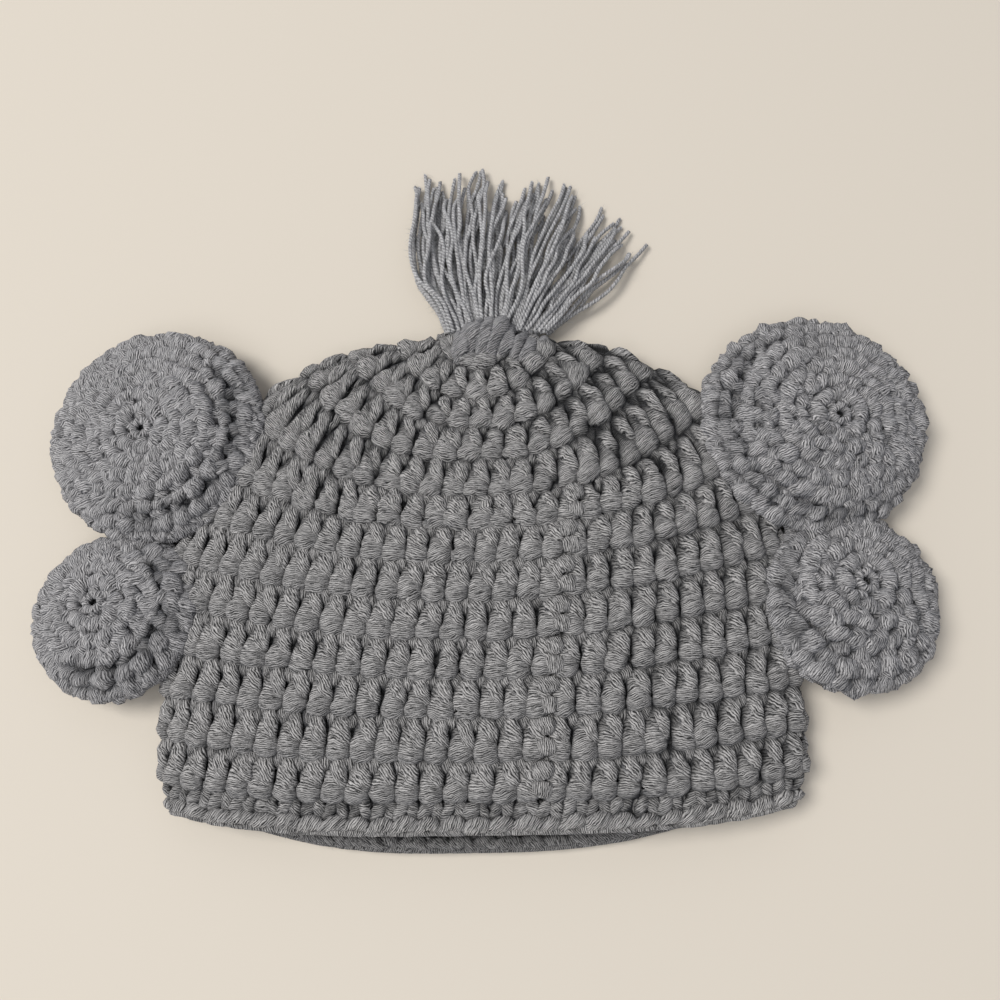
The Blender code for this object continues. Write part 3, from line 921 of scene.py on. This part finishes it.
# Painted shade: how deep the body's yarn looks, in millimetres.
BODY_DEPTH_SEEN = -1.3
EAR_FIBRES_PER_METRE = 105000
EAR_FIBRE_LENGTH = 0.0034
EARS = (
    # name, side, radius, thickness, centre x and y, tilt, lean, hole x and y from the middle
    ("ear_upper_left", -1, 0.03325, 0.0175, (-0.10107, 0.04368), 7.0, 2.0, (-0.0014, -0.0003)),
    ("ear_upper_right", 1, 0.03325, 0.0175, (0.10107, 0.04368), 7.0, 2.0, (0.0057, 0.0007)),
    ("ear_lower_left", -1, 0.02375, 0.0165, (-0.10951, -0.01132), 9.0, 8.0, (-0.0033, 0.0019)),
    ("ear_lower_right", 1, 0.02375, 0.0165, (0.10951, -0.01132), 9.0, 8.0, (0.0022, 0.0037)),
)
ROUND_KNOTS = (
    (-0.28, 0.22, -2.0, 1.9, 1.2),
    (0.08, 0.35, -1.0, 2.8, 1.6),
    (0.48, 0.46, -0.6, 3.2, 1.8),
    (0.88, 0.57, -1.0, 2.8, 1.6),
    (1.24, 0.72, -2.0, 1.8, 1.2),
)
POST_BETWEEN_KNOTS = (
    (0.70, 0.58, -2.0, 1.7, 1.1),
    (0.82, 0.78, -1.2, 2.5, 1.5),
    (0.94, 1.00, -0.9, 2.8, 1.6),
    (1.06, 1.22, -1.2, 2.4, 1.5),
    (1.16, 1.42, -2.1, 1.6, 1.1),
)
ROUND_LEAN = ((0.0, 1.0), (0.35, 0.15), (0.0, 0.0), "along")
POST_BETWEEN_LEAN = ((0.6, 1.4), (-0.3, -0.6), (0.0, 0.0), "along")
EAR_LOOP = (ROUND_KNOTS, ROUND_LEAN, 8, 9)
EAR_POST = (POST_BETWEEN_KNOTS, POST_BETWEEN_LEAN, 7, 8)
# Furrows between rounds of an ear's face: distance from the hole, the direction of their
# middle in degrees, how far they reach to either side of it, their depth, and how far the
# skin beyond them falls away.
EAR_FURROWS = {
    "ear_upper_left": (
        (0.0235, -28, 72, 0.0034, 0.0046), (0.0125, -50, 50, 0.0013, 0.0), (0.0185, -130, 70, 0.0010, 0.0),
    ),
    "ear_upper_right": (
        (0.0085, 190, 70, 0.0016, 0.0), (0.0172, 195, 85, 0.0026, 0.0), (0.0262, 212, 85, 0.0030, 0.0036),
        (0.0200, 300, 50, 0.0014, 0.0),
    ),
    "ear_lower_left": ((0.0155, -20, 85, 0.0034, 0.0042), (0.0085, -60, 80, 0.0012, 0.0)),
    "ear_lower_right": (
        (0.0082, 170, 70, 0.0014, 0.0), (0.0178, 190, 75, 0.0032, 0.0040), (0.0195, 265, 55, 0.0026, 0.0034),
    ),
}
# How the covers sit on their discs: shift to the right and up in metres, and stretch.
EAR_SEATS = {
    "ear_upper_left": (0.0012, 0.0, 0.975, 1.0),
    "ear_upper_right": (0.0010, -0.0012, 1.0, 1.0),
    "ear_lower_left": (0.0015, -0.0008, 1.0, 1.02),
    "ear_lower_right": (-0.0013, -0.0006, 1.03, 1.09),
}


def ear_profile(radius, thickness):
    """Distances and heights along an ear's skin, from the middle of its face over its side to
    the middle underneath."""
    face = []
    for share in np.linspace(0, 1, 160) ** 0.6 * EAR_FACE_SHARE:
        dome = (1 - share ** EAR_SQUARENESS) ** (1 / EAR_SQUARENESS)
        face.append((share * radius, thickness / 2 * dome - EAR_DIMPLE * (1 - share) ** 3))
    face.append((radius, 0.0))
    return np.array(face + [(distance, -height) for distance, height in reversed(face[:-1])])


def press_furrows(net, distances, turns, firm, furrows):
    """Presses furrows into an ear's net and returns where the skin beyond them falls away."""
    wall = np.zeros(net.shape[:2])
    bearing = np.degrees(turns) % 360
    firm = np.clip(firm, 0, 1)
    for distance, middle, spread, depth, fall in furrows:
        away = np.abs((bearing - middle + 180) % 360 - 180)
        reach = np.clip(1.3 - away / spread, 0, 1) ** 0.7
        wave = FURROW_WAVE * np.sin(7 * np.radians(bearing) + distance * 900)
        past = distances[:, None] - distance - wave
        dip = np.exp(-(past / FURROW_HALF_WIDTH) ** 2) * reach * depth
        fallen = np.clip(past / FALL_RUN, 0, 1) * reach * fall
        net[..., 2] -= (dip + fallen) * firm
        net[..., 0] += fallen * FALL_BULGE * np.cos(turns)
        net[..., 1] += fallen * FALL_BULGE * np.sin(turns)
        if fall > 0:
            beyond = np.clip(past / WALL_RUN, 0, 1) * np.minimum(2 * reach, 1) * firm
            wall = np.maximum(wall, beyond)
    return wall


for ear_name, side, radius, thickness, centre, tilt, lean_up, hole in EARS:
    profile = ear_profile(radius, thickness)
    run = run_along(profile)
    ring_count = 2 * round(run[-1] / EAR_RING / 2)
    spots = np.linspace(0, run[-1], ring_count * EAR_STEPS_UP + 1)
    distances = np.interp(spots, run, profile[:, 0])
    heights = np.interp(spots, run, profile[:, 1])
    turns = -2 * math.pi * np.arange(EAR_AROUND + 1) / EAR_AROUND
    hole_pull = 1 - (distances / radius) ** 2
    ear_net = np.stack([
        distances[:, None] * np.cos(turns) + hole[0] * hole_pull[:, None],
        distances[:, None] * np.sin(turns) + hole[1] * hole_pull[:, None],
        heights[:, None] * np.ones(EAR_AROUND + 1),
    ], axis=-1)
    firm = np.clip(heights[:, None] / (EAR_SOFT_SIDE * thickness), -1, 1)
    ear_net[..., 2] -= EAR_GROOVE * np.cos(math.pi * spots / run[-1] * ring_count)[:, None] ** 8 * firm
    shift_right, shift_up, stretch_wide, stretch_tall = EAR_SEATS[ear_name]
    ear_net[..., 0] = ear_net[..., 0] * stretch_wide + shift_right
    ear_net[..., 1] = ear_net[..., 1] * stretch_tall + shift_up
    ear_wall = press_furrows(ear_net, distances, turns, firm, EAR_FURROWS[ear_name])
    # The right pair's stitches stand out a little more all over, and their colour gets painted shade all
    # over.
    if side > 0:
        ear_wall = np.maximum(ear_wall, RIGHT_PAIR_RELIEF_AND_SHADE)
    ear_wall = ear_wall[..., None]
    ear_place = (
        Matrix.Translation((centre[0], centre[1], thickness / 2))
        @ Matrix.Rotation(math.radians(tilt) * side, 4, "Y")
        @ Matrix.Rotation(math.radians(-lean_up), 4, "X")
    )
    turned = np.array(ear_place.to_3x3())
    ear_net = ear_net @ turned.T + np.array(ear_place.translation)
    ear_outward = outward_of(ear_net)
    ear_outward[0] = turned @ UPWARD
    ear_outward[-1] = turned @ -UPWARD

    def wall_painted_shade(position, share):
        """Painted shade: the extra depth, in millimetres, that darkens the yarn's colour where the skin
        falls away.
        """
        return WALL_SHADE_DEPTH * read_net(ear_wall, position * EAR_STEPS_UP, share * EAR_AROUND)[..., 0]

    def on_ear(position, share, out):
        """World places on the ear. Where the skin falls away the stitches stand out more."""
        rows = position * EAR_STEPS_UP
        columns = share * EAR_AROUND
        wall = read_net(ear_wall, rows, columns)[..., 0]
        out = out + WALL_RELIEF * wall * (out + 0.0002)
        return lay_on(ear_net, ear_outward, rows, columns, out)

    heap = YarnHeap()
    rng = np.random.default_rng(len(ear_name) * 7 + side)
    for ring in range(ring_count):
        ring_middle = np.interp((ring + 0.5) * EAR_STEPS_UP, np.arange(len(distances)), distances)
        count = max(round(2 * math.pi * ring_middle / EAR_PITCH) + rng.integers(-1, 2), FEWEST_STITCHES)
        first = rng.uniform()
        for strand in (EAR_LOOP, EAR_POST):
            lay_strands(
                heap, rng, on_ear, strand, first, count, max(ring, EAR_HOLE), ring + 1,
                EAR_UNEVENNESS if ring > 0 else HOLE_UNEVENNESS,
                deepest=EAR_DEEPEST if ring > 0 else HOLE_DEEPEST, shaded=wall_painted_shade,
            )
    body_rings = [
        level_ring(on_ear, position, BODY_HEIGHT if position >= BODY_START else HOLE_HEIGHT, BODY_AROUND)
        for position in (*HOLE_RINGS, *np.linspace(BODY_START, ring_count - BODY_END_GAP, BODY_RINGS))
    ]
    body_rings = np.maximum(body_rings, (-1, -1, BODY_LOWEST))
    body = sleeve(ear_name + "_body", body_rings, BODY_DEPTH_SEEN, ear_paint)
    cover = heap.mesh(ear_name + "_cover")
    cover.data.materials.append(ear_paint)
    fibre_count = round(EAR_FIBRES_PER_METRE * radius)
    fuzz = grow_fuzz(ear_name + "_fuzz", cover, fibre_count, EAR_FIBRE_LENGTH, ring_count + 7 * side)
    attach(fuzz, "root")
    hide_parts(ear_name)
    for piece in (cover, body):
        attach(piece, "root")
        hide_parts(ear_name)

# Tassel.
# A hundred and thirty ends of fine two-ply yarn, pulled half way through the tip of the
# crown and held by a fuzzy knot of thick yarn; they lie fanned out, longest in the middle.
TASSEL_SHADE = (0.27, 0.266, 0.268)
TASSEL_LIGHT = (0.71, 0.700, 0.703)
tassel_paint = yarn_paint(
    "tassel_yarn", TASSEL_SHADE, TASSEL_LIGHT, ply_depth=0.9, fuzz=0.5, sheen=0.35, wander=0.25,
)
TASSEL_ROOT = np.array([0.0024, 0.0783])
TASSEL_STRANDS = 130
STRAND_HALF_WIDTH = 0.00078
STRAND_HALF_DEPTH = 0.00046
STRAND_SIDES = 6
STRAND_TWIST = 0.0024
STRAND_STEP = 0.00046
STRAND_LENGTHS = (0.72, 1.03)
STRAND_WANDER = 0.0006
STRAND_WAVE = 0.0012
STRAY_RAMP = 2.5
TAPER_RUN, TAPER_END = 0.002, 0.9
LINE_SPOTS = 9
FINE_SPOTS = 120
TASSEL_FIBRES = 10000
TASSEL_FIBRE_LENGTH = 0.0042
# The bunch from the side: the middle height and thickness of its root, the lowest height and
# thickness of its tips, how far its top strands rise between them, how far and from which
# share of their length they droop, the least height of a strand and how much that varies.
ROOT_HEIGHT, ROOT_THICKNESS = 0.0055, 0.005
TIP_HEIGHT, TIP_THICKNESS = 0.0009, 0.0042
TOP_RISE = 0.004
TOP_DROOP = 0.0028
DROOP_START = 0.75
LEAST_HEIGHT = 0.0007
HEIGHT_VARIES = 0.0002
# Painted shade on strands that lie under others: how deep the lowest strands look, in millimetres, and how
# much less so the top ones.
LOWEST_DEPTH_SEEN = -0.4
TOP_DEPTH_GAIN = 0.5
# Lines that the strands follow, from the left edge of the fan to its right edge, in
# millimetres from the root: share of the fan, then places from the knot to the tip.
FAN_GUIDES = (
    (0.00, ((-12.0, -2.0), (-15.5, 7.0), (-22.0, 17.0), (-25.0, 30.0), (-24.5, 42.0), (-22.5, 53.0))),
    (0.17, ((-8.0, -2.0), (-11.0, 8.0), (-15.0, 21.0), (-17.0, 34.0), (-17.5, 47.0), (-17.5, 58.5))),
    (0.37, ((-2.0, -2.0), (-4.0, 9.0), (-5.0, 22.0), (-5.0, 35.0), (-4.5, 47.0), (-4.0, 58.0))),
    (0.60, ((5.0, -2.0), (7.5, 9.0), (10.0, 21.0), (12.5, 34.0), (15.0, 46.0), (18.0, 58.5))),
    (0.80, ((12.0, -2.0), (18.0, 6.5), (23.0, 15.5), (28.0, 25.5), (33.0, 36.0), (38.0, 45.5))),
    (1.00, ((20.0, -2.0), (26.0, 3.0), (32.0, 8.5), (38.0, 14.5), (44.5, 21.0), (50.5, 28.0))),
)
guide_shares = np.array([guide[0] for guide in FAN_GUIDES])
guide_lines = np.array([guide[1] for guide in FAN_GUIDES]) / 1000
rng = np.random.default_rng(92)
heap = YarnHeap()
for number in range(TASSEL_STRANDS):
    spread = (number + rng.uniform(0, 1)) / TASSEL_STRANDS
    layer = rng.uniform(0, 1)
    line = np.array([
        [np.interp(spread, guide_shares, guide_lines[:, spot, axis]) for axis in (0, 1)]
        for spot in range(guide_lines.shape[1])
    ])
    line = strand_path(line, LINE_SPOTS)
    line = line[0] + (line - line[0]) * rng.uniform(*STRAND_LENGTHS)
    shares = np.linspace(0, 1, LINE_SPOTS)
    stray = np.cumsum(rng.normal(0, STRAND_WANDER, (LINE_SPOTS, 2)), axis=0) * np.array([1.0, 0.3])
    stray[:, 0] += STRAND_WAVE * np.sin(shares * rng.uniform(4, 10) + rng.uniform(0, 6))
    stray *= np.minimum(shares * STRAY_RAMP, 1)[:, None]
    root_height = ROOT_HEIGHT + ROOT_THICKNESS * (layer - 0.5)
    tip_height = TIP_HEIGHT + TIP_THICKNESS * layer
    height = root_height + (tip_height - root_height) * shares
    height += TOP_RISE * layer * np.sin(math.pi * shares)
    height -= TOP_DROOP * layer * np.maximum(shares - DROOP_START, 0) / (1 - DROOP_START)
    height = np.maximum(height, LEAST_HEIGHT) + rng.normal(0, HEIGHT_VARIES, LINE_SPOTS)
    fine = strand_path(np.column_stack([line + stray + TASSEL_ROOT, height]), FINE_SPOTS)
    run = run_along(fine)
    steps = np.arange(0, run[-1], STRAND_STEP)
    centre_line = points_along(fine, run, steps)
    forward = unit(np.gradient(centre_line, axis=0))
    across = unit(np.cross(forward, UPWARD))
    above = np.cross(across, forward)
    twist = 2 * math.pi * steps / STRAND_TWIST + rng.uniform(0, 6)
    taper = np.interp(steps, [0, run[-1] - TAPER_RUN, run[-1]], [1.0, 1.0, TAPER_END])
    turns = 2 * math.pi * np.arange(STRAND_SIDES) / STRAND_SIDES
    wide = STRAND_HALF_WIDTH * np.cos(turns)[None] * taper[:, None]
    deep = STRAND_HALF_DEPTH * np.sin(turns)[None] * taper[:, None]
    flat_x = wide * np.cos(twist)[:, None] - deep * np.sin(twist)[:, None]
    flat_y = wide * np.sin(twist)[:, None] + deep * np.cos(twist)[:, None]
    rings = centre_line[:, None] + across[:, None] * flat_x[..., None]
    rings += above[:, None] * flat_y[..., None]
    rings[..., 2] = np.maximum(rings[..., 2], LOWEST_POINT)
    two_plies = 2 * np.arange(STRAND_SIDES + 1) / STRAND_SIDES + 0.5
    plies = np.broadcast_to(two_plies, (len(steps), STRAND_SIDES + 1))
    depths = np.full((1, *rings.shape[:2]), LOWEST_DEPTH_SEEN + TOP_DEPTH_GAIN * layer)
    heap.add(rings[None], plies[None], np.array([float(number)]), depths)
tassel_strands = heap.mesh("tassel_strands")
tassel_strands.data.materials.append(tassel_paint)
tassel_fuzz = grow_fuzz("tassel_fuzz", tassel_strands, TASSEL_FIBRES, TASSEL_FIBRE_LENGTH, 370)
for piece in (tassel_strands, tassel_fuzz):
    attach(piece, "root")
    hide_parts("tassel")

# The knot: soft turns of the thick yarn laid side by side over the tip, and three flatter
# ones to the right of them. Each turn's top, in millimetres from the tassel's root.
KNOT_TURNS = (
    (-8.6, -7.2, 9.6), (-6.0, -6.0, 11.8), (-3.0, -5.2, 12.8), (0.2, -5.0, 13.0), (3.4, -5.4, 12.4),
    (6.3, -6.8, 10.8), (10.5, -8.4, 10.2), (13.6, -8.8, 9.6), (16.8, -9.8, 8.6),
)
# How a turn bends over from there, and its radii.
KNOT_BEND = np.array([
    (-2.6, -6.5, -4.6, 1.8, 1.5),
    (-1.2, -3.4, -1.4, 2.2, 1.8),
    (0.0, 0.0, 0.0, 2.4, 2.0),
    (1.2, 3.6, -1.8, 2.3, 1.9),
    (2.2, 6.5, -5.6, 1.9, 1.5),
])
KNOT_RINGS = 16
KNOT_SIDES = 12
BEND_VARIES = 0.0004
TURN_SURFACE_VARIES = 0.0001
TURN_PLIES_X, TURN_PLIES_Y = 0.5, -0.9
# Painted shade: how deep the knot's yarn looks, in millimetres.
KNOT_DEPTH_SEEN = -0.6
KNOT_FIBRES = 900
heap = YarnHeap()
for top in KNOT_TURNS:
    knots = (KNOT_BEND + (*top, 0, 0)) / 1000
    knots[:, :2] += TASSEL_ROOT
    knots += rng.normal(0, BEND_VARIES, knots.shape)
    rings = strand_skin(strand_path(knots, KNOT_RINGS)[None], KNOT_SIDES)
    rings += rng.normal(0, TURN_SURFACE_VARIES, rings.shape)
    plies = (TURN_PLIES_X * rings[..., 0] + TURN_PLIES_Y * rings[..., 1]) / PLY_PITCH + rng.uniform(0, 50)
    plies = np.concatenate([plies, plies[..., :1]], axis=-1)
    heap.add(rings, plies, np.array([200.0 + top[0]]), np.full(rings.shape[:3], KNOT_DEPTH_SEEN))
tassel_knot = heap.mesh("tassel_knot")
tassel_knot.data.materials.append(ear_paint)
knot_fuzz = grow_fuzz("knot_fuzz", tassel_knot, KNOT_FIBRES, EAR_FIBRE_LENGTH, 380)
for piece in (tassel_knot, knot_fuzz):
    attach(piece, "root")
    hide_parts("tassel")
